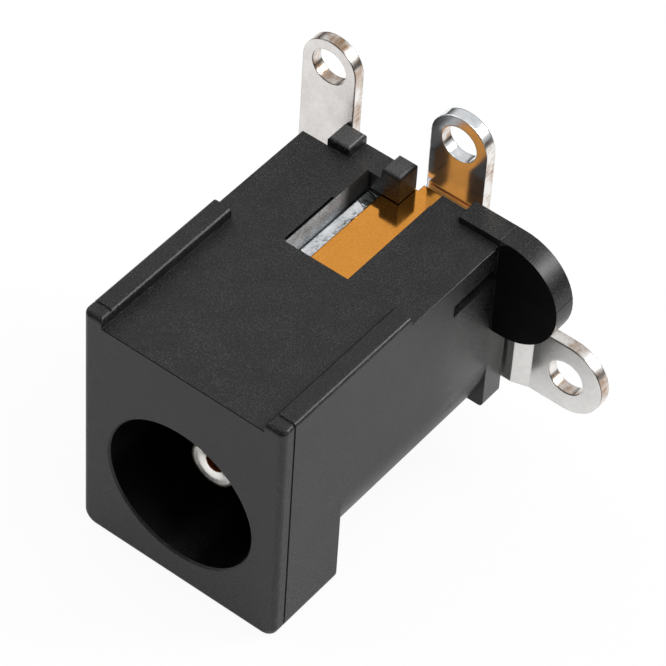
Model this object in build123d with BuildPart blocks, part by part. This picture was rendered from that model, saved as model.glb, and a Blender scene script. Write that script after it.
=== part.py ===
from build123d import *
import os

# Right-angle DC power jack with three solder lugs, for a 5.5 mm barrel plug.
# Millimetres. X runs to the right along the front face, Y runs into the jack from
# the front face, and Z runs up to the solder side. The origin is the centre of the
# socket's mouth on the front face.

# Socket
bore_diameter = 6.5
bore_depth = 9.6
mouth_chamfer = 0.08

# Moulded housing
body_width = 9.0
flange_length = 3.65
flange_drop = 4.7
flange_corner = 0.6
flange_heel_rounding = 0.35
front_rounding = 0.27
deck_height = 6.15
deck_rounding = 0.05
body_length = 12.3
rear_wall = 1.05
rear_wall_drop = 2.5
rear_wall_corner = 0.2
wall_notch_z = 3.0
wall_top_step = 0.06
spring_bridge_recess = 0.3
parting_groove_y = 0.6
parting_groove_width = 0.1
parting_groove_depth = 0.06

# Rails and pegs that hold a board off the deck
rail_width = 0.85
rail_height = 0.45
rail_length = 7.15
rail_rounding = 0.18
peg_left_width = 1.0
peg_left_x = -2.84
peg_right_width = 0.84
peg_right_x = -0.42
peg_rounding = 0.2

# Slot in the deck above the sleeve spring
slot_left = 1.43
slot_right = 1.38
slot_front = 7.5
relief_setback = 0.1
relief_lip = 0.05
relief_width = 0.1
relief_length = 2.75
relief_depth = 0.25

# Ear beside the deck at the rear
ear_radius = 2.35
ear_centre_x = 4.88
ear_rise = 0.3
ear_left = 2.65
ear_thickness = 1.0

# Sheet metal
lug_sheet = 0.5
lug_width = 2.4
lug_hole = 1.55
bend_radius = 0.15
channel_clearance = 0.05

# Centre pin
pin_diameter = 2.0
pin_setback = 1.9
pin_nose_rounding = 0.26
pin_tip_dish_diameter = 1.42
pin_tip_dish_depth = 0.08
pin_tip_hole = 0.75
pin_tip_hole_depth = 2.5
pin_clearance = 0.02
pin_shoulder_diameter = 3.2
pin_shoulder_length = 0.5
tenon_diameter = 1.3
rivet_head_diameter = 2.3
rivet_head_height = 0.4
rivet_head_rounding = 0.3

# Centre pin's terminal, riveted to the pin at the rear
pin_eye_diameter = 3.6
pin_lug_x = -4.23
pin_lug_elbow_z = 4.4
pin_lug_hole_z = 8.75

# Sleeve spring
leaf_sheet = 0.25
leaf_top = 5.27
leaf_left = 0.8
leaf_right = 2.65
leaf_front = 8.0
leaf_bend_radius = 0.4
finger_right = 1.2
finger_dip_y = 5.3
finger_dip = 0.65
finger_tip_y = 4.4
finger_tip_rise = 0.5

# Sleeve terminal under the spring
base_left = 1.35
base_setback = 0.3
margin_width = 0.5
margin_rise = 0.14
wing_front = 9.75
wing_right = 3.9
sleeve_lug_x = 1.36
sleeve_lug_width = 2.5
sleeve_lug_setback = 0.5
sleeve_lug_hole_z = 8.07

# Switch terminal
blade_left = 2.2
blade_right = 3.6
blade_top = 4.15
blade_finger_left = 0.2
blade_finger_length = 1.0
switch_lug_z = -0.12
switch_lug_width = 3.2
switch_lug_hole_x = 7.12
switch_arm_gap = 0.08
switch_bend_x = 4.9
switch_bend_length = 0.7
switch_lug_step = 0.22

# Sizes that follow from the ones above
half_width = body_width / 2
bore_radius = bore_diameter / 2
rail_top = deck_height + rail_height
rail_inside = half_width - rail_width
rear_face = body_length + rear_wall
wall_top = deck_height - wall_top_step
sleeve_lug_y = rear_face + sleeve_lug_setback
ear_top = deck_height + ear_rise
ear_centre_z = ear_top - ear_radius
peg_left_edge = peg_left_x - peg_left_width / 2
peg_right_side = peg_right_x + peg_right_width / 2
leaf_bottom = leaf_top - leaf_sheet
base_top = leaf_bottom
base_bottom = base_top - lug_sheet
channel_bottom = base_bottom - channel_clearance
channel_top = leaf_top + channel_clearance
blade_bottom = blade_top - lug_sheet
blade_channel_bottom = blade_bottom - channel_clearance
finger_dip_z = bore_radius - finger_dip
finger_slope = (leaf_bottom - finger_dip_z) / (leaf_front - finger_dip_y)
blade_front = finger_dip_y + (blade_top - finger_dip_z) / finger_slope + channel_clearance
base_front = leaf_front + base_setback
tail_left = sleeve_lug_x - sleeve_lug_width / 2
switch_arm_y = rear_face + switch_arm_gap
switch_lug_y = switch_arm_y + switch_lug_step


def station(y):
    """Plane parallel to the front face at depth y: local x is X and local y is Z."""
    return Plane.XZ.offset(-y)


# Housing, one moulding in black plastic
with BuildPart() as housing:
    # Flange around the mouth
    with BuildSketch(station(0)) as flange_outline:
        with Locations((0, (rail_top - flange_drop) / 2)):
            Rectangle(body_width, rail_top + flange_drop)
        fillet(flange_outline.vertices().group_by(Axis.Y)[0], flange_corner)
        fillet(flange_outline.vertices().group_by(Axis.Y)[-1], rail_rounding)
    extrude(amount=-flange_length)
    with BuildSketch(Plane.YZ.offset(-half_width)) as flange_profile:
        with Locations((flange_length / 2, (rail_top - flange_drop) / 2)):
            Rectangle(flange_length, rail_top + flange_drop)
        heel = flange_profile.vertices().group_by(Axis.Y)[0].sort_by(Axis.X)[-1]
        fillet(heel, flange_heel_rounding)
    extrude(amount=body_width, mode=Mode.INTERSECT)
    fillet(housing.faces().sort_by(Axis.Y)[0].edges(), front_rounding)

    # Parting groove just behind the flange's rounded front
    with BuildSketch(station(parting_groove_y - parting_groove_width / 2)):
        add(flange_outline.sketch_local)
        offset(flange_outline.sketch_local.faces(), -parting_groove_depth, mode=Mode.SUBTRACT)
    extrude(amount=-parting_groove_width, mode=Mode.SUBTRACT)

    # Body behind the flange: square above the socket's axis and round below it
    with BuildSketch(station(flange_length)) as body_outline:
        Circle(half_width)
        with Locations((0, rail_top / 2)):
            Rectangle(body_width, rail_top)
        fillet(body_outline.vertices().group_by(Axis.Y)[-1], rail_rounding)
    extrude(amount=-(body_length - flange_length))

    # Deck between the rails, lowered from the rails' tops, which are rounded to the inside
    with BuildSketch(station(0)):
        with Locations((0, deck_height + rail_height / 2)):
            Rectangle(2 * rail_inside, rail_height)
        with Locations((0, rail_top - rail_rounding / 2)):
            Rectangle(2 * (rail_inside + rail_rounding), rail_rounding)
        rounding_x = rail_inside + rail_rounding
        rounding_z = rail_top - rail_rounding
        with Locations((-rounding_x, rounding_z), (rounding_x, rounding_z)):
            Circle(rail_rounding, mode=Mode.SUBTRACT)
    extrude(amount=-rail_length, mode=Mode.SUBTRACT)

    # Deck behind the rails, as wide as the body, with its long edges just broken
    with BuildSketch(station(rail_length)):
        with Locations((0, deck_height + rail_height / 2)):
            Rectangle(body_width, rail_height)
        with Locations((0, deck_height - deck_rounding / 2)):
            Rectangle(body_width, deck_rounding)
            Rectangle(body_width - 2 * deck_rounding, deck_rounding, mode=Mode.SUBTRACT)
        edge_x = half_width - deck_rounding
        edge_z = deck_height - deck_rounding
        with Locations((-edge_x, edge_z), (edge_x, edge_z)):
            Circle(deck_rounding, mode=Mode.SUBTRACT)
    extrude(amount=-(body_length - rail_length), mode=Mode.SUBTRACT)

    # Rear wall, square to just below the socket's axis and a little lower than the deck
    with BuildSketch(station(body_length)) as wall_outline:
        with Locations((0, (wall_top - rear_wall_drop) / 2)):
            Rectangle(body_width, wall_top + rear_wall_drop)
        fillet(wall_outline.vertices().group_by(Axis.Y)[0], rear_wall_corner)
        with Locations(((peg_left_edge - half_width) / 2, (wall_notch_z + deck_height) / 2)):
            Rectangle(half_width + peg_left_edge, deck_height - wall_notch_z, mode=Mode.SUBTRACT)
    extrude(amount=-rear_wall)

    # Pegs on the rear wall, level with the rails
    with BuildSketch(Plane.XY.offset(wall_top)):
        with Locations((peg_left_x, body_length + rear_wall / 2)):
            Rectangle(peg_left_width, rear_wall)
        with Locations((peg_right_x, body_length + rear_wall / 2)):
            Rectangle(peg_right_width, rear_wall)
    extrude(amount=rail_top - wall_top)
    peg_tops = housing.faces().filter_by(Axis.Z).group_by(Axis.Z)[-1].filter_by(
        lambda face: face.center().Y > body_length
    )
    fillet(peg_tops.edges(), peg_rounding)

    # Ear, a round-ended slab level with the rails
    with BuildSketch(station(body_length)):
        with Locations((ear_centre_x, ear_centre_z)):
            Circle(ear_radius)
        with Locations(((ear_left + ear_centre_x) / 2, (wall_top + ear_top) / 2)):
            Rectangle(ear_centre_x - ear_left, ear_top - wall_top)
        with Locations(((half_width + ear_centre_x) / 2, ear_centre_z)):
            Rectangle(ear_centre_x - half_width, 2 * ear_radius)
    extrude(amount=-ear_thickness)

    # Slot in the deck, open to the rear beside the right peg
    with BuildSketch(Plane.XY.offset(channel_bottom)):
        with Locations(((slot_right - slot_left) / 2, (slot_front + body_length) / 2)):
            Rectangle(slot_left + slot_right, body_length - slot_front)
        with Locations(((peg_right_side + slot_right) / 2, body_length + rear_wall / 2)):
            Rectangle(slot_right - peg_right_side, rear_wall)
        with Locations(((slot_right + ear_left) / 2, rear_face - spring_bridge_recess / 2)):
            Rectangle(ear_left - slot_right, spring_bridge_recess)
    extrude(amount=rail_top - channel_bottom, mode=Mode.SUBTRACT)

    # Relief groove in the deck beside the slot, with a thin lip between
    with BuildSketch(Plane.XY.offset(deck_height - relief_depth)):
        relief_x = -slot_left - relief_lip - relief_width / 2
        with Locations((relief_x, slot_front + relief_setback + relief_length / 2)):
            Rectangle(relief_width, relief_length)
    extrude(amount=relief_depth, mode=Mode.SUBTRACT)

    # Channel for the sleeve spring and its terminal, slid in from the rear
    channel_left = slot_left
    channel_right = leaf_right + channel_clearance
    with BuildSketch(Plane.XY.offset(channel_bottom)):
        with Locations(((channel_right - channel_left) / 2, (slot_front + rear_face) / 2)):
            Rectangle(channel_left + channel_right, rear_face - slot_front)
    extrude(amount=channel_top - channel_bottom, mode=Mode.SUBTRACT)

    # Channel for the terminal's wing, open through the right side
    with BuildSketch(Plane.XY.offset(channel_bottom)):
        with Locations(((leaf_right + half_width) / 2, (wing_front + body_length) / 2)):
            Rectangle(half_width - leaf_right, body_length - wing_front)
        with Locations(((leaf_right + wing_right) / 2, (wing_front + rear_face) / 2)):
            Rectangle(wing_right - leaf_right + 2 * channel_clearance, rear_face - wing_front)
    extrude(amount=base_top + channel_clearance - channel_bottom, mode=Mode.SUBTRACT)

    # Window above the socket, which the spring's finger dips through
    window_front = finger_tip_y - 4 * channel_clearance
    window_width = leaf_left + finger_right + 4 * channel_clearance
    with BuildSketch(Plane.XY):
        with Locations(((finger_right - leaf_left) / 2, (window_front + slot_front) / 2)):
            Rectangle(window_width, slot_front - window_front)
    extrude(amount=channel_top, mode=Mode.SUBTRACT)

    # Channel for the switch blade, slid in from the rear
    with BuildSketch(Plane.XY.offset(blade_channel_bottom)):
        with Locations(((blade_left + blade_right) / 2, (blade_front + rear_face) / 2)):
            Rectangle(
                blade_right - blade_left + 2 * channel_clearance,
                rear_face - blade_front + 2 * channel_clearance,
            )
        with Locations(((blade_finger_left + blade_right) / 2, blade_front + blade_finger_length / 2)):
            Rectangle(
                blade_right - blade_finger_left + 2 * channel_clearance,
                blade_finger_length + 2 * channel_clearance,
            )
    extrude(amount=lug_sheet + 2 * channel_clearance, mode=Mode.SUBTRACT)

    # Socket and the pin's way through the rear wall
    with Locations(station(0)):
        with Locations((0, 0, -bore_depth / 2)):
            Cylinder(bore_radius, bore_depth, mode=Mode.SUBTRACT)
        with Locations((0, 0, -rear_face / 2)):
            Cylinder(pin_diameter / 2 + pin_clearance, rear_face, mode=Mode.SUBTRACT)
    chamfer(housing.faces().sort_by(Axis.Y)[0].inner_wires().edges(), mouth_chamfer)

housing.part.label = "housing"


# Centre pin, turned in brass and nickel plated, with a round nose, a dished and drilled
# tip, and a tenon behind
with BuildPart() as centre_pin:
    with BuildSketch(Plane.XY):
        with BuildLine():
            tip_hole_end = pin_setback + pin_tip_hole_depth
            shoulder_front = bore_depth - pin_shoulder_length
            head_base = rear_face + lug_sheet
            Polyline(
                (0, head_base + rivet_head_height),
                (0, tip_hole_end),
                (pin_tip_hole / 2, tip_hole_end),
                (pin_tip_hole / 2, pin_setback + pin_tip_dish_depth),
                (pin_tip_dish_diameter / 2, pin_setback),
                (pin_diameter / 2, pin_setback),
                (pin_diameter / 2, shoulder_front),
                (pin_shoulder_diameter / 2, shoulder_front),
                (pin_shoulder_diameter / 2, bore_depth),
                (pin_diameter / 2, bore_depth),
                (pin_diameter / 2, rear_face),
                (tenon_diameter / 2, rear_face),
                (tenon_diameter / 2, head_base),
                (rivet_head_diameter / 2, head_base),
                (rivet_head_diameter / 2, head_base + rivet_head_height),
                close=True,
            )
        head_face = make_face()
        head_rim = head_face.vertices().group_by(Axis.Y)[-1].sort_by(Axis.X)[-1]
        fillet(head_rim, rivet_head_rounding)
        nose_rim = head_face.vertices().group_by(Axis.Y)[0].sort_by(Axis.X)[-1]
        fillet(nose_rim, pin_nose_rounding)
    revolve(axis=Axis.Y)
centre_pin.part.label = "centre_pin"

# Centre pin's terminal, stamped flat, with an eye round the tenon and a lug at the top
with BuildPart() as pin_terminal:
    with BuildSketch(station(rear_face)):
        with BuildLine() as strip_run:
            Polyline((0, 0), (pin_lug_x, pin_lug_elbow_z), (pin_lug_x, pin_lug_hole_z))
        trace(strip_run.line, line_width=lug_width)
        Circle(pin_eye_diameter / 2)
        with Locations((pin_lug_x, pin_lug_elbow_z), (pin_lug_x, pin_lug_hole_z)):
            Circle(lug_width / 2)
        Circle(tenon_diameter / 2, mode=Mode.SUBTRACT)
        with Locations((pin_lug_x, pin_lug_hole_z)):
            Circle(lug_hole / 2, mode=Mode.SUBTRACT)
    extrude(amount=-lug_sheet)
pin_terminal.part.label = "pin_terminal"

# Sleeve spring, a phosphor bronze leaf with a finger that dips into the socket
with BuildPart() as sleeve_spring:
    with BuildSketch(Plane.XY.offset(leaf_bottom)):
        with Locations(((leaf_right - leaf_left) / 2, (leaf_front + rear_face) / 2)):
            Rectangle(leaf_left + leaf_right, rear_face - leaf_front)
        tail_end = sleeve_lug_y - bend_radius
        with Locations((sleeve_lug_x, (rear_face + tail_end) / 2)):
            Rectangle(sleeve_lug_width, tail_end - rear_face)
        with Locations(((leaf_right + finger_right) / 2, leaf_front + base_setback / 2)):
            Rectangle(leaf_right - finger_right, base_setback, mode=Mode.SUBTRACT)
    extrude(amount=leaf_sheet)
    with BuildSketch(Plane.YZ.offset(-leaf_left)):
        with BuildLine():
            FilletPolyline(
                (base_front, leaf_bottom),
                (leaf_front, leaf_bottom),
                (finger_dip_y, finger_dip_z),
                (finger_tip_y, finger_dip_z + finger_tip_rise),
                radius=leaf_bend_radius,
            )
            offset(amount=leaf_sheet, side=Side.RIGHT)
        make_face()
    extrude(amount=leaf_left + finger_right)
sleeve_spring.part.label = "sleeve_spring"

# Sleeve terminal, a plated base under the spring with its lug bent up behind. The base's
# left margin is turned up a little beside the spring.
with BuildPart() as sleeve_terminal:
    with BuildSketch(Plane.XY.offset(base_bottom)):
        with Locations(((leaf_right - base_left) / 2, (base_front + rear_face) / 2)):
            Rectangle(base_left + leaf_right, rear_face - base_front)
        wing_start = wing_front + channel_clearance
        with Locations(((leaf_right + wing_right) / 2, (wing_start + body_length) / 2)):
            Rectangle(wing_right - leaf_right, body_length - wing_start)
    extrude(amount=lug_sheet)
    with BuildSketch(station(base_front)):
        with BuildLine():
            Polyline(
                (-base_left, base_top),
                (margin_width - base_left, base_top),
                (-base_left, base_top + margin_rise),
                close=True,
            )
        make_face()
    extrude(amount=-(body_length - base_front))
    with BuildSketch(Plane.YZ.offset(tail_left)):
        with BuildLine():
            FilletPolyline(
                (rear_face - lug_sheet, base_top),
                (sleeve_lug_y, base_top),
                (sleeve_lug_y, sleeve_lug_hole_z),
                radius=bend_radius,
            )
            offset(amount=lug_sheet, side=Side.RIGHT)
        make_face()
    extrude(amount=sleeve_lug_width)
    with BuildSketch(station(sleeve_lug_y)):
        with Locations((sleeve_lug_x, sleeve_lug_hole_z)):
            Circle(sleeve_lug_width / 2)
    extrude(amount=-lug_sheet)
    with BuildSketch(station(sleeve_lug_y)):
        with Locations((sleeve_lug_x, sleeve_lug_hole_z)):
            Circle(lug_hole / 2)
    extrude(amount=-lug_sheet, mode=Mode.SUBTRACT)
sleeve_terminal.part.label = "sleeve_terminal"

# Switch terminal, a blade under the spring's finger and a lug out to the right
with BuildPart() as switch_terminal:
    with BuildSketch(Plane.XY.offset(blade_bottom)):
        with Locations(((blade_left + blade_right) / 2, (blade_front + rear_face) / 2)):
            Rectangle(blade_right - blade_left, rear_face - blade_front)
        with Locations(((blade_finger_left + blade_right) / 2, blade_front + blade_finger_length / 2)):
            Rectangle(blade_right - blade_finger_left, blade_finger_length)
    extrude(amount=lug_sheet)
    with BuildSketch(Plane.YZ.offset(blade_left)):
        with BuildLine():
            FilletPolyline(
                (rear_face - lug_sheet, blade_bottom),
                (switch_arm_y, blade_bottom),
                (switch_arm_y, switch_lug_z - switch_lug_width / 2),
                radius=bend_radius,
            )
            offset(amount=lug_sheet, side=Side.LEFT)
        make_face()
    extrude(amount=blade_right - blade_left)
    with BuildSketch(Plane.XY.offset(switch_lug_z - switch_lug_width / 2)):
        with BuildLine():
            FilletPolyline(
                (blade_left, switch_arm_y),
                (switch_bend_x, switch_arm_y),
                (switch_bend_x + switch_bend_length, switch_lug_y),
                (switch_lug_hole_x, switch_lug_y),
                radius=bend_radius,
            )
            offset(amount=lug_sheet, side=Side.LEFT)
        make_face()
    extrude(amount=switch_lug_width)
    with BuildSketch(station(switch_lug_y)):
        with Locations((switch_lug_hole_x, switch_lug_z)):
            Circle(switch_lug_width / 2)
    extrude(amount=-lug_sheet)
    with BuildSketch(station(switch_lug_y)):
        with Locations((switch_lug_hole_x, switch_lug_z)):
            Circle(lug_hole / 2)
    extrude(amount=-lug_sheet, mode=Mode.SUBTRACT)
switch_terminal.part.label = "switch_terminal"

os.makedirs("parts", exist_ok=True)
for piece in (housing, centre_pin, pin_terminal, sleeve_spring, sleeve_terminal, switch_terminal):
    export_step(piece.part, f"parts/{piece.part.label}.step")
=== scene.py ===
import math

import bmesh
import bpy
from mathutils import Matrix, Vector


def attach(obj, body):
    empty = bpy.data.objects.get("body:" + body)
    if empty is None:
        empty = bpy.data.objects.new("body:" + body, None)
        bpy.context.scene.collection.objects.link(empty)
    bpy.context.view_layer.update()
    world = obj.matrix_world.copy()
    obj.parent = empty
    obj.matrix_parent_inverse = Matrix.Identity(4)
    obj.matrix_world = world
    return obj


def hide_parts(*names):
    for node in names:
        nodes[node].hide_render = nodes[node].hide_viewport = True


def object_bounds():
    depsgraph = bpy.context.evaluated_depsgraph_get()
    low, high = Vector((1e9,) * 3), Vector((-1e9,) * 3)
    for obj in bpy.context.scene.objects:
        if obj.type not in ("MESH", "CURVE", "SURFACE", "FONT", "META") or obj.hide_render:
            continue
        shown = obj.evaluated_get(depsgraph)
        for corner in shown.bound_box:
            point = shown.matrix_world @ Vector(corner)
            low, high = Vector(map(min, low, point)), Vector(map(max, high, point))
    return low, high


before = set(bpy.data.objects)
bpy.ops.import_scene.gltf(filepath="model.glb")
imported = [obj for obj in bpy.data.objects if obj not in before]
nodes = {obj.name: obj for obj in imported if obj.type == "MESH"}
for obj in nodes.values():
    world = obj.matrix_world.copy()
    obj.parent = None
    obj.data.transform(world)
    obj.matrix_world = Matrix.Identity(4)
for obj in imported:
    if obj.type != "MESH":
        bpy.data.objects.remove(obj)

cad_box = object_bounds()

# Housing: one injection moulding in black glass-filled nylon. The steel of the mould was
# spark eroded, which leaves a fine matte grain on the body, and ground where the rear wall,
# the pegs and the ear were cut into it, which leaves those smoother.

millimetre = 0.001
tolerance = 0.01 * millimetre
weld_distance = 0.0002 * millimetre
same_flat = 0.99999
faces_front = -0.99

rear_wall_front = 12.3 * millimetre
slot_wall = -1.43 * millimetre
slot_front = 7.5 * millimetre
socket_radius = 3.25 * millimetre
deck_top = 6.15 * millimetre
half_width = 4.5 * millimetre
ear_foot = 2.5 * millimetre

mould_grain = (0.055 * millimetre, 1.2 * millimetre, 0.15)
grain_depth = 0.045 * millimetre
dull_depth = 0.015 * millimetre
body_rounding, rear_rounding = 0.04 * millimetre, 0.03 * millimetre
rounding_change = (rear_wall_front - 0.1 * millimetre, rear_wall_front - 0.05 * millimetre)
grain_change = (rear_wall_front - 0.05 * millimetre, rear_wall_front - 0.01 * millimetre)
peg_foot = (deck_top - 0.1 * millimetre, deck_top + 0.2 * millimetre)
smooth_side = (8.8 * millimetre, 11.4 * millimetre)
wall_reflection_end = (10.2 * millimetre, 11.2 * millimetre)
shaded_wall_foot = (5.02 * millimetre, 5.18 * millimetre)


def new_object(name, data):
    """An object that shows the data, linked into the scene."""
    made = bpy.data.objects.new(name, data)
    bpy.context.scene.collection.objects.link(made)
    return made


def merged_copy(node, name, smooth_limit=0.9, lean=0.0):
    """A copy of a node's mesh with its triangles joined, smooth on curves and flat on flats.

    Each corner takes the normal of the largest flat that meets its face smoothly, so a
    flat stays flat up to the edge where a rounding starts. The limit is the cosine of the
    largest angle that still counts as smooth. The lean, a slope, turns the flats that face
    the front a little to the left.
    """
    mesh = nodes[node].data.copy()
    mesh.name = name
    work = bmesh.new()
    work.from_mesh(mesh)
    bmesh.ops.remove_doubles(work, verts=work.verts, dist=weld_distance)
    work.faces.ensure_lookup_table()
    flat_of = {}
    flat_area = []
    for first in work.faces:
        if first in flat_of:
            continue
        flat_of[first] = len(flat_area)
        area, waiting = 0.0, [first]
        while waiting:
            face = waiting.pop()
            area += face.calc_area()
            for edge in face.edges:
                for other in edge.link_faces:
                    if other not in flat_of and other.normal.dot(face.normal) > same_flat:
                        flat_of[other] = len(flat_area)
                        waiting.append(other)
        flat_area.append(area)
    corner_normals = []
    for face in work.faces:
        for corner in face.loops:
            weights = {}
            for other in corner.vert.link_faces:
                if other.normal.dot(face.normal) > smooth_limit:
                    weights[flat_of[other]] = (flat_area[flat_of[other]] ** 2, other.normal)
            total = sum((weight * normal for weight, normal in weights.values()), Vector())
            total.normalize()
            if total.y < faces_front:
                total.x -= lean
            corner_normals.append(total.normalized())
    work.to_mesh(mesh)
    work.free()
    mesh.materials.clear()
    mesh.shade_smooth()
    mesh.normals_split_custom_set([tuple(normal) for normal in corner_normals])
    return new_object(name, mesh)


def node_group(name, inputs, outputs):
    """An empty shader group with number inputs and number outputs, its start and its end."""
    group = bpy.data.node_groups.new(name, "ShaderNodeTree")
    for label, value in inputs.items():
        socket = group.interface.new_socket(label, in_out="INPUT", socket_type="NodeSocketFloat")
        socket.default_value = value
    for label in outputs:
        group.interface.new_socket(label, in_out="OUTPUT", socket_type="NodeSocketFloat")
    start = group.nodes.new("NodeGroupInput").outputs
    return group, start, group.nodes.new("NodeGroupOutput")


def feed(tree, node, values):
    """A node's inputs, set to values or linked to sockets."""
    for label, value in values.items():
        if isinstance(value, bpy.types.NodeSocket):
            tree.links.new(value, node.inputs[label])
        else:
            node.inputs[label].default_value = value


def place(tree, kind, values=None, **settings):
    """A node with its settings made and its inputs fed."""
    node = tree.nodes.new(kind)
    for label, value in settings.items():
        setattr(node, label, value)
    feed(tree, node, values or {})
    return node


def new_finish(name):
    """A material, its tree and its Principled shader."""
    finish = bpy.data.materials.new(name)
    finish.use_nodes = True
    return finish, finish.node_tree, finish.node_tree.nodes["Principled BSDF"]


def calculate(tree, operation, *values, **settings):
    """The result of a sum on sockets or numbers."""
    values = dict(enumerate(values))
    return place(tree, "ShaderNodeMath", values, operation=operation, **settings).outputs[0]


def product(tree, first, *others):
    """Sockets or numbers, multiplied together."""
    for other in others:
        first = calculate(tree, "MULTIPLY", first, other)
    return first


def spread(tree, value, low, high, to_low=0.0, to_high=1.0, **settings):
    """A value between low and high, spread over another range and held at its ends."""
    values = {"Value": value, "From Min": low, "From Max": high}
    values.update({"To Min": to_low, "To Max": to_high})
    return place(tree, "ShaderNodeMapRange", values, **settings).outputs["Result"]


def mixed_number(tree, share, first, second):
    """Two numbers, mixed by the second one's share."""
    values = {0: share, 2: first, 3: second}
    return place(tree, "ShaderNodeMix", values, data_type="FLOAT").outputs[0]


def mixed_colour(tree, share, first, second):
    """Two colours, mixed by the second one's share."""
    values = {0: share}
    for label, colour in ((6, first), (7, second)):
        is_socket = isinstance(colour, bpy.types.NodeSocket)
        values[label] = colour if is_socket else (*colour, 1.0)
    return place(tree, "ShaderNodeMix", values, data_type="RGBA").outputs[2]


def noise(tree, point, scale, detail, roughness):
    """Soft noise at a point."""
    values = {"Vector": point, "Scale": scale, "Detail": detail, "Roughness": roughness}
    return place(tree, "ShaderNodeTexNoise", values).outputs[0]


def point_on_piece(tree):
    """The point's place in the piece's own coordinates."""
    return place(tree, "ShaderNodeTexCoord").outputs["Object"]


def parts(tree, vector):
    """The X, Y and Z of a vector."""
    return place(tree, "ShaderNodeSeparateXYZ", {"Vector": vector}).outputs


def from_socket_axis(tree, place_on_piece):
    """The distance from the axis of the socket and its pin."""
    values = {"X": place_on_piece["X"], "Z": place_on_piece["Z"]}
    beside_axis = place(tree, "ShaderNodeCombineXYZ", values).outputs[0]
    length = place(tree, "ShaderNodeVectorMath", {0: beside_axis}, operation="LENGTH")
    return length.outputs["Value"]


def lay_relief(tree, shader, height, depth, rounding=None):
    """A relief on the shader's normal, over edges that are rounded to a radius."""
    values = {"Height": height, "Strength": 1.0, "Distance": depth}
    if rounding is not None:
        edges = place(tree, "ShaderNodeBevel", {"Radius": rounding}, samples=8)
        values["Normal"] = edges.outputs["Normal"]
    bump = place(tree, "ShaderNodeBump", values)
    feed(tree, shader, {"Normal": bump.outputs["Normal"]})


# Grain: fine noise and patches at the piece's own place, as a height and as a mottle
grain_group, start, end = node_group(
    "surface_grain",
    {"Grain Size": 0.1 * millimetre, "Patch Size": millimetre, "Patch Share": 0.3},
    ("Height", "Mottle"),
)
point = point_on_piece(grain_group)
grain_scale = calculate(grain_group, "DIVIDE", 1.0, start["Grain Size"])
patch_scale = calculate(grain_group, "DIVIDE", 1.0, start["Patch Size"])
specks = noise(grain_group, point, grain_scale, 2.0, 0.6)
patches = noise(grain_group, point, patch_scale, 3.0, 0.55)
grain_height = mixed_number(grain_group, start["Patch Share"], specks, patches)
feed(grain_group, end, {"Height": grain_height, "Mottle": patches})


def grain(tree, size, patch_size, patch_share):
    """The height and the mottle of the surface grain."""
    values = {"Grain Size": size, "Patch Size": patch_size, "Patch Share": patch_share}
    outputs = place(tree, "ShaderNodeGroup", values, node_tree=grain_group).outputs
    return outputs["Height"], outputs["Mottle"]


black_nylon, tree, shader = new_finish("black_nylon")
height, mottle = grain(tree, *mould_grain)
swing = calculate(tree, "SUBTRACT", height, 0.5)
on_body = parts(tree, point_on_piece(tree))

# The grain is deep on the flats, less so behind the body, and fades on the roundings
normal = place(tree, "ShaderNodeNewGeometry").outputs["Normal"]
facing = place(tree, "ShaderNodeVectorMath", {0: normal}, operation="ABSOLUTE")
share = parts(tree, facing.outputs[0])
level_share = calculate(tree, "MAXIMUM", share["X"], share["Y"])
largest_share = calculate(tree, "MAXIMUM", level_share, share["Z"])
flatness = spread(tree, largest_share, 0.96, 0.995, 0.2)
smoother_rear = spread(tree, on_body["Y"], *grain_change, 1.0, 0.6)
relief = product(tree, smoother_rear, flatness, swing)

# The grain's high spots are paler, but not in the smooth socket
high_spots = spread(tree, swing, 0.02, 0.14)
from_axis = from_socket_axis(tree, on_body)
outside_socket = calculate(tree, "GREATER_THAN", from_axis, socket_radius + tolerance)
pale_spots = product(tree, high_spots, outside_socket)
shade = mixed_colour(tree, pale_spots, (0.0002, 0.0002, 0.0002), (0.038, 0.038, 0.039))

# The upward faces of the peg tops are painted a lighter grey: painted light, where light falls
# on them
speckle = spread(tree, swing, -0.08, 0.08, 0.4)
above_deck = spread(tree, on_body["Z"], *peg_foot)
behind_body = spread(tree, on_body["Y"], *grain_change)
left_of_ear = calculate(tree, "LESS_THAN", on_body["X"], ear_foot)
upward = spread(tree, share["Z"], 0.3, 0.9)
peg_top_light = product(tree, above_deck, behind_body, left_of_ear, upward, speckle)
peg_lit_shade = mixed_colour(tree, peg_top_light, shade, (0.07, 0.07, 0.07))

# The slot's left wall is painted light grey, a painted reflection of the light, in patches that
# fade towards the rear; below its foot, next to the strip, it is painted near black as painted
# shade
on_wall = calculate(tree, "COMPARE", on_body["X"], slot_wall, tolerance)
in_slot = calculate(tree, "GREATER_THAN", on_body["Y"], slot_front + tolerance)
slot_wall_area = product(tree, on_wall, in_slot)
reflection_fade = spread(tree, on_body["Y"], *wall_reflection_end, 1.0, 0.04)
reflection_patches = spread(tree, mottle, 0.4, 0.6, 0.6)
painted_wall_reflection = product(tree, reflection_fade, reflection_patches, speckle, slot_wall_area)
above_shaded_foot = spread(tree, on_body["Z"], *shaded_wall_foot)
reflection_and_foot_shade = mixed_colour(tree, above_shaded_foot, (0.002, 0.002, 0.002), (0.58, 0.63, 0.67))
shade_with_wall_reflection = mixed_colour(tree, painted_wall_reflection, peg_lit_shade, reflection_and_foot_shade)

# The right side is smoother just before the ear
dullness = spread(tree, mottle, 0.3, 0.7, 0.34, 0.4)
side_face = calculate(tree, "COMPARE", on_body["X"], half_width, 2 * tolerance)
before_ear = spread(tree, on_body["Y"], *smooth_side, interpolation_type="SMOOTHSTEP")
smooth_share = product(tree, side_face, before_ear)
smooth_dullness = mixed_number(tree, smooth_share, dullness, 0.17)
slot_wall_dullness = mixed_number(tree, slot_wall_area, smooth_dullness, 0.75)

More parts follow.
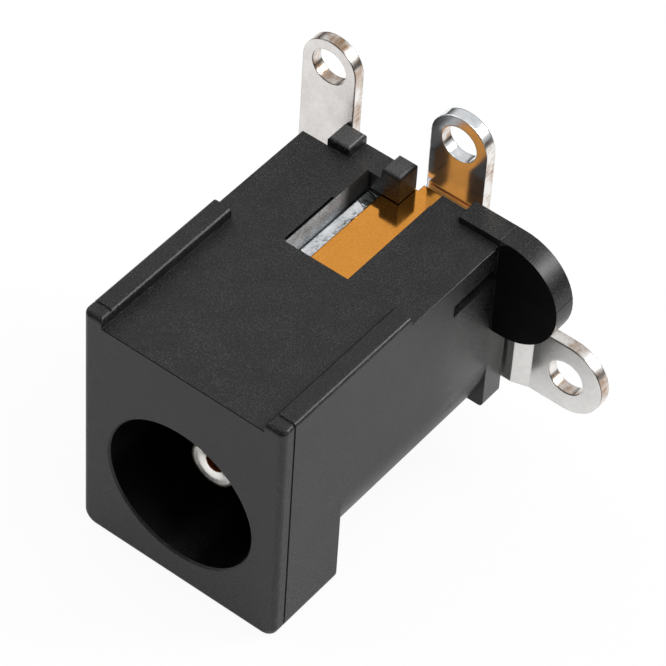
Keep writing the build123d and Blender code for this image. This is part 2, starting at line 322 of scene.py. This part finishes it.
rounding = spread(tree, on_body["Y"], *rounding_change, body_rounding, rear_rounding)
lay_relief(tree, shader, relief, grain_depth, rounding)
feed(tree, shader, {"Base Color": shade_with_wall_reflection, "Roughness": slot_wall_dullness, "IOR": 1.43})

# The ear's front face is painted near black and duller than the rest, as painted shade,
# and so are the thin shade lines beside the deck and the rail
painted_shade_black, tree, shader = new_finish("painted_shade_black")
height, mottle = grain(tree, *mould_grain)
painted_shade_tone = mixed_colour(tree, height, (0.0002, 0.0002, 0.0002), (0.0014, 0.0014, 0.0014))
dull_patches = spread(tree, mottle, 0.3, 0.7, 0.5, 0.7)
lay_relief(tree, shader, height, dull_depth)
feed(
    tree,
    shader,
    {"Base Color": painted_shade_tone, "Roughness": dull_patches, "Specular IOR Level": 0.06},
)

housing = merged_copy("housing", "housing_moulding")
housing.data.materials.append(black_nylon)
housing.data.materials.append(painted_shade_black)
# The ear's front face takes the near-black finish of painted shade
for face in housing.data.polygons:
    in_ear_plane = abs(face.center.y - rear_wall_front) < 2 * tolerance
    if in_ear_plane and face.center.x > half_width and face.normal.y < faces_front:
        face.material_index = 1
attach(housing, "root")
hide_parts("housing")

# Hair lines on the moulding: two lines of flash cross the ear's rim where the halves of the
# mould met. Along the deck's front edge and the right rail's inner edge lie thin near-black
# tubes, painted shade lines.

ear_radius = 2.35 * millimetre
ear_centre = Vector((4.88, 12.3, 4.1)) * millimetre
ear_depth = Vector((0, 1.0, 0)) * millimetre
low_turn = math.radians(10)
flash_starts = [
    Vector((half_width, ear_centre.y, ear_centre.z + ear_radius)),
    ear_centre + Vector((math.cos(low_turn), 0, math.sin(low_turn))) * ear_radius,
]
flash_points = [corner for start in flash_starts for corner in (start, start + ear_depth)]
flash_radius = 0.016 * millimetre

shade_line_end = Vector((3.65 * millimetre, 0.02 * millimetre, deck_top))
rail_edge = Vector((3.671, 0.12, 6.505)) * millimetre
rail_shade_line = Vector((0, 7.0, 0)) * millimetre
shade_line_points = [
    Vector((-shade_line_end.x, shade_line_end.y, shade_line_end.z)),
    shade_line_end,
    rail_edge,
    rail_edge + rail_shade_line,
]
shade_line_radius = 0.013 * millimetre

swept = bpy.data.node_groups.new("swept_lines", "GeometryNodeTree")
swept.interface.new_socket("Geometry", in_out="INPUT", socket_type="NodeSocketGeometry")
thickness = swept.interface.new_socket("Radius", in_out="INPUT", socket_type="NodeSocketFloat")
coating = swept.interface.new_socket("Finish", in_out="INPUT", socket_type="NodeSocketMaterial")
swept.interface.new_socket("Geometry", in_out="OUTPUT", socket_type="NodeSocketGeometry")
start = swept.nodes.new("NodeGroupInput").outputs
path = place(swept, "GeometryNodeMeshToCurve", {"Mesh": start["Geometry"]})
ring = place(
    swept, "GeometryNodeCurvePrimitiveCircle", {"Resolution": 8, "Radius": start["Radius"]}
)
tube = place(
    swept,
    "GeometryNodeCurveToMesh",
    {"Curve": path.outputs["Curve"], "Profile Curve": ring.outputs["Curve"], "Fill Caps": True},
)
realized = place(swept, "GeometryNodeRealizeInstances", {"Geometry": tube.outputs["Mesh"]})
coated = place(
    swept,
    "GeometryNodeSetMaterial",
    {"Geometry": realized.outputs["Geometry"], "Material": start["Finish"]},
)
end = swept.nodes.new("NodeGroupOutput")
feed(swept, end, {"Geometry": coated.outputs["Geometry"]})
for name, points, radius, finish in (
    ("flash_lines", flash_points, flash_radius, black_nylon),
    ("painted_shade_lines", shade_line_points, shade_line_radius, painted_shade_black),
):
    line_mesh = bpy.data.meshes.new(name)
    line_mesh.from_pydata([tuple(corner) for corner in points], [(0, 1), (2, 3)], [])
    lines = new_object(name, line_mesh)
    sweep = lines.modifiers.new("swept_lines", "NODES")
    sweep.node_group = swept
    sweep[thickness.identifier] = radius
    sweep[coating.identifier] = finish
    evaluated = lines.evaluated_get(bpy.context.evaluated_depsgraph_get())
    lines.data = bpy.data.meshes.new_from_object(evaluated)
    lines.modifiers.clear()
    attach(lines, "root")

# Centre pin: turned from brass rod and nickel plated. Its tip is drilled, and its rear end
# is peened over the eye of its terminal.

line_width, line_length = 0.04 * millimetre, 1.5 * millimetre
metal_rounding = 0.07 * millimetre
turned_grain = (0.08 * millimetre, 0.6 * millimetre, 0.4)
rim_start = (0.86 * millimetre, 0.91 * millimetre)
dish_radius = 0.79 * millimetre
dish_slope = -0.9
bore_radius = 0.4 * millimetre
bore_end = 6.0 * millimetre
pin_smooth_limit = 0.972

rolled_group, start, end = node_group(
    "rolled_lines", {"Line Width": line_width, "Line Length": line_length}, ("Height",)
)
across = calculate(rolled_group, "DIVIDE", 1.0, start["Line Width"])
along = calculate(rolled_group, "DIVIDE", 1.0, start["Line Length"])
stretch = place(rolled_group, "ShaderNodeCombineXYZ", {"X": across, "Y": along, "Z": along})
strip_map = place(
    rolled_group,
    "ShaderNodeMapping",
    {"Vector": point_on_piece(rolled_group), "Scale": stretch.outputs[0]},
)
rolled_height = noise(rolled_group, strip_map.outputs[0], 1.0, 2.0, 0.5)
feed(rolled_group, end, {"Height": rolled_height})


def plated_finish(
    name, bright, dark, dullness, depth, grain_sizes, rolled_share=0.35, bare_share=1.0
):
    """A plated metal: its colour and dullness drift with the grain, over fine rolled lines.

    The dullness gives the least and the most, and the depth is that of the relief.
    """
    least_dull, most_dull = dullness
    finish, tree, shader = new_finish(name)
    height, mottle = grain(tree, *grain_sizes)
    lines = place(
        tree,
        "ShaderNodeGroup",
        {"Line Width": line_width, "Line Length": line_length},
        node_tree=rolled_group,
    )
    drift = spread(tree, height, 0.36, 0.64)
    tone = mixed_colour(tree, drift, dark, bright)
    patches = spread(tree, mottle, 0.3, 0.7, most_dull, least_dull)
    relief = mixed_number(tree, rolled_share, height, lines.outputs["Height"])
    lay_relief(tree, shader, relief, depth, metal_rounding)
    feed(tree, shader, {"Base Color": tone, "Roughness": patches, "Metallic": bare_share})
    return finish


turned_nickel = plated_finish(
    "turned_nickel",
    bright=(0.99, 0.965, 0.93),
    dark=(0.93, 0.89, 0.84),
    dullness=(0.2, 0.26),
    depth=0.003 * millimetre,
    grain_sizes=turned_grain,
)
polished_nickel = plated_finish(
    "polished_nickel",
    bright=(0.62, 0.58, 0.53),
    dark=(0.50, 0.46, 0.41),
    dullness=(0.06, 0.09),
    depth=0.0005 * millimetre,
    grain_sizes=turned_grain,
)
bored_brass = plated_finish(
    "bored_brass",
    bright=(0.98, 0.56, 0.27),
    dark=(0.85, 0.45, 0.20),
    dullness=(0.2, 0.3),
    depth=0.001 * millimetre,
    grain_sizes=turned_grain,
)

# The outer edge of the pin's tip, beyond the dish, is painted dark: a painted reflection of the
# dark bore
tree = turned_nickel.node_tree
shader = tree.nodes["Principled BSDF"]
pin_tone = shader.inputs["Base Color"].links[0].from_socket
from_axis = from_socket_axis(tree, parts(tree, point_on_piece(tree)))
painted_dark_rim = spread(tree, from_axis, *rim_start)
feed(tree, shader, {"Base Color": mixed_colour(tree, painted_dark_rim, pin_tone, (0.16, 0.14, 0.12))})

pin = merged_copy("centre_pin", "turned_centre_pin", pin_smooth_limit)
for finish in (turned_nickel, polished_nickel, bored_brass):
    pin.data.materials.append(finish)
for face in pin.data.polygons:
    corners = [pin.data.vertices[index].co for index in face.vertices]
    outermost = max(Vector((corner.x, corner.z)).length for corner in corners)
    if outermost > dish_radius and face.normal.y > dish_slope:
        face.material_index = 1
    elif outermost < bore_radius and face.center.y < bore_end:
        face.material_index = 2
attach(pin, "root")
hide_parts("centre_pin")

# Terminals: stamped from 0.5 mm brass strip that was nickel plated first, so the sheared
# edges and the walls of the holes show streaks of bare brass. Next to the front skin the
# sheared edges are painted a dark line, painted shade.

pin_lug_front = 13.35 * millimetre
other_lug_front = 13.65 * millimetre
between_lugs = (-2.0 * millimetre, -1.0 * millimetre)
edge_shade_band = (0.03 * millimetre, 0.07 * millimetre)
sheared_grain = (0.25 * millimetre, 1.1 * millimetre, 0.75)
shear_depth = 0.004 * millimetre
shear_rounding = 0.05 * millimetre
streaks_per_metre = (6000.0, 900.0, 6000.0)
skin_slope = 0.6
margin_slopes = (0.1, 0.5)

strip_depth = 0.002 * millimetre
strip_grain = (0.2 * millimetre, 1.1 * millimetre, 0.6)
satin_nickel = plated_finish(
    "satin_nickel",
    bright=(0.79, 0.765, 0.745),
    dark=(0.70, 0.67, 0.645),
    dullness=(0.22, 0.3),
    depth=strip_depth,
    grain_sizes=strip_grain,
)
bright_nickel = plated_finish(
    "bright_nickel",
    bright=(0.84, 0.86, 0.88),
    dark=(0.74, 0.76, 0.78),
    dullness=(0.12, 0.17),
    depth=strip_depth,
    grain_sizes=strip_grain,
    bare_share=0.94,
)
dull_nickel = plated_finish(
    "dull_nickel",
    bright=(0.88, 0.87, 0.85),
    dark=(0.78, 0.765, 0.745),
    dullness=(0.2, 0.28),
    depth=strip_depth,
    grain_sizes=strip_grain,
)

sheared_brass, tree, shader = new_finish("sheared_brass")
height = grain(tree, *sheared_grain)[0]
point = point_on_piece(tree)
shear_map = place(tree, "ShaderNodeMapping", {"Vector": point, "Scale": streaks_per_metre})
streaks = noise(tree, shear_map.outputs[0], 1.0, 2.0, 0.6)
bare = spread(tree, height, 0.44, 0.6)
streak_share = spread(tree, streaks, 0.35, 0.65, 0.55)
bare_streaks = product(tree, bare, streak_share)
edge_tone = mixed_colour(tree, bare_streaks, (0.84, 0.82, 0.79), (0.38, 0.24, 0.15))
on_lug = parts(tree, point)
# A narrow band of the sheared edge next to the front skin is painted dark, as painted shade
front_skin = spread(tree, on_lug["X"], *between_lugs, pin_lug_front, other_lug_front)
behind_skin = calculate(tree, "SUBTRACT", on_lug["Y"], front_skin)
painted_edge_shade = spread(tree, behind_skin, *edge_shade_band, 0.85, 0.0)
shaded_edge_tone = mixed_colour(tree, painted_edge_shade, edge_tone, (0.05, 0.035, 0.025))
relief = mixed_number(tree, 0.6, height, streaks)
lay_relief(tree, shader, relief, shear_depth, shear_rounding)
feed(tree, shader, {"Base Color": shaded_edge_tone, "Metallic": 1.0, "Roughness": 0.22})


def stamped(node, name, face_finish, edge_finish, skins, lean=0.0):
    """A stamped piece: faces square to the strip get the edge's finish, the rest the skin's."""
    piece = merged_copy(node, name, lean=lean)
    mesh = piece.data
    mesh.materials.append(face_finish)
    mesh.materials.append(edge_finish)
    for face in mesh.polygons:
        if not any(abs(face.normal.dot(skin)) > skin_slope for skin in skins):
            face.material_index = 1
    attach(piece, "root")
    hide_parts(node)
    return piece


along_y = Vector((0, 1, 0))
along_z = Vector((0, 0, 1))
pin_terminal = stamped(
    "pin_terminal", "pin_solder_lug", satin_nickel, sheared_brass, [along_y], lean=0.16
)
sleeve_terminal = stamped(
    "sleeve_terminal", "sleeve_solder_lug", bright_nickel, sheared_brass, [along_y, along_z]
)
switch_terminal = stamped(
    "switch_terminal", "switch_solder_lug", dull_nickel, sheared_brass, [along_y], lean=0.19
)

# The margin of the sleeve terminal was crumpled as it was turned up
crumpled_nickel = plated_finish(
    "crumpled_nickel",
    bright=(0.96, 0.98, 1.0),
    dark=(0.70, 0.73, 0.76),
    dullness=(0.12, 0.24),
    depth=0.06 * millimetre,
    grain_sizes=(0.35 * millimetre, 1.1 * millimetre, 0.6),
    rolled_share=0.0,
)
sleeve_terminal.data.materials.append(crumpled_nickel)
for face in sleeve_terminal.data.polygons:
    on_margin = margin_slopes[0] < face.normal.x < margin_slopes[1]
    if on_margin and face.normal.z > skin_slope:
        face.material_index = 2

# Sleeve spring: a leaf of polished phosphor bronze strip, laid on the sleeve terminal and
# bent down into the socket, where it presses on the barrel of the plug.

leaf_grain = (0.12 * millimetre, 0.9 * millimetre, 0.3)
bronze = plated_finish(
    "polished_bronze",
    bright=(0.88, 0.38, 0.07),
    dark=(0.80, 0.32, 0.054),
    dullness=(0.09, 0.13),
    depth=0.0008 * millimetre,
    grain_sizes=leaf_grain,
)
bronze_edge = plated_finish(
    "bronze_edge",
    bright=(0.90, 0.62, 0.34),
    dark=(0.62, 0.34, 0.12),
    dullness=(0.2, 0.3),
    depth=strip_depth,
    grain_sizes=leaf_grain,
)
spring = stamped("sleeve_spring", "bronze_leaf", bronze, bronze_edge, [along_y, along_z])

# Studio: the jack lies on a small white sheet under a white sky that darkens towards the
# horizon, with a soft lamp at its left, a smaller one behind its right side and one
# overhead. The camera looks down on it from its front right.

white = (1.0, 1.0, 1.0, 1.0)
sheet_reach = 60.0 * millimetre
floor_height = cad_box[0][2]
floor_mesh = bpy.data.meshes.new("floor")
floor_mesh.from_pydata(
    [
        (side * sheet_reach, depth * sheet_reach, floor_height)
        for side, depth in ((-1, -1), (1, -1), (1, 1), (-1, 1))
    ],
    [],
    [(0, 1, 2, 3)],
)
floor = new_object("floor", floor_mesh)

# The sheet glows white to the camera and a little in reflections, and is paper otherwise
white_sheet, tree, shader = new_finish("white_sheet")
tree.nodes.remove(shader)
paper = place(tree, "ShaderNodeBsdfDiffuse", {"Color": (0.85, 0.85, 0.85, 1.0)})
glow = place(tree, "ShaderNodeEmission", {"Color": white, "Strength": 1.0})
ray = place(tree, "ShaderNodeLightPath").outputs
mirrored = calculate(
    tree, "ADD", ray["Is Glossy Ray"], ray["Is Transmission Ray"], use_clamp=True
)
mirrored_share = product(tree, mirrored, 0.3)
whitening = calculate(
    tree, "MULTIPLY_ADD", ray["Is Camera Ray"], 0.93, mirrored_share, use_clamp=True
)
sheet = place(
    tree, "ShaderNodeMixShader", {0: whitening, 1: paper.outputs[0], 2: glow.outputs[0]}
)
feed(tree, tree.nodes["Material Output"], {"Surface": sheet.outputs[0]})
floor_mesh.materials.append(white_sheet)

# The sky is a plain white backdrop for the camera, and for the rest dims low down and in front
sky = bpy.data.worlds.new("white_sky")
bpy.context.scene.world = sky
sky.use_nodes = True
tree = sky.node_tree
direction = parts(tree, place(tree, "ShaderNodeTexCoord").outputs["Generated"])
height_share = spread(tree, direction["Z"], 0.0, 0.35, 0.06, 0.75)
front_share = spread(tree, direction["Y"], -0.85, -0.6, 0.3)
daylight = tree.nodes["Background"]
strength = product(tree, height_share, front_share)
feed(tree, daylight, {"Color": white, "Strength": strength})
backdrop = place(tree, "ShaderNodeBackground", {"Color": white, "Strength": 1.0})
ray = place(tree, "ShaderNodeLightPath").outputs
sky_mix = place(
    tree,
    "ShaderNodeMixShader",
    {0: ray["Is Camera Ray"], 1: daylight.outputs[0], 2: backdrop.outputs[0]},
)
feed(tree, tree.nodes["World Output"], {"Surface": sky_mix.outputs[0]})


def outward(turn, rise):
    """The way out from the jack: turned to the right of its front, and raised."""
    return Vector(
        (math.sin(turn) * math.cos(rise), -math.cos(turn) * math.cos(rise), math.sin(rise))
    )


jack_centre = Vector((1.0, 7.0, 1.0)) * millimetre
lamp_distance = 0.5
for name, turn, rise, width, watts in (
    ("left_lamp", -95, 35, 0.4, 0.55),
    ("rear_lamp", 133, 34, 0.16, 1.3),
    ("top_lamp", 100, 72, 0.25, 0.5),
):
    light = bpy.data.lights.new(name, "AREA")
    light.shape = "SQUARE"
    light.size = width
    light.energy = watts
    lamp = new_object(name, light)
    away = outward(math.radians(turn), math.radians(rise))
    lamp.location = jack_centre + away * lamp_distance
    lamp.rotation_euler = away.to_track_quat("Z", "Y").to_euler()

focal_pixels, picture_pixels = 4000.0, 666.0
camera_turn = math.radians(35.415)
camera_rise = math.radians(47.35)
camera_roll = math.radians(3.864)
camera_distance = 145.3 * millimetre
shift_right, shift_up = 1.103 * millimetre, 1.197 * millimetre
aim = Vector((0.0, 7.0, 1.0)) * millimetre
camera_data = bpy.data.cameras.new("camera")
camera_data.sensor_width = 36.0
camera_data.lens = focal_pixels * camera_data.sensor_width / picture_pixels
camera_data.clip_start = 0.01
camera_data.clip_end = 5.0
camera = new_object("camera", camera_data)
back = outward(camera_turn, camera_rise)
level_right = Vector((math.cos(camera_turn), math.sin(camera_turn), 0.0))
level_up = back.cross(level_right)
right = level_right * math.cos(camera_roll) + level_up * math.sin(camera_roll)
up = level_up * math.cos(camera_roll) - level_right * math.sin(camera_roll)
standpoint = aim + back * camera_distance + right * shift_right + up * shift_up
turned_frame = Matrix((right, up, back)).transposed().to_4x4()
camera.matrix_world = Matrix.Translation(standpoint) @ turned_frame
bpy.context.scene.camera = camera
bpy.context.scene.view_settings.view_transform = "Standard"

bpy.context.view_layer.update()
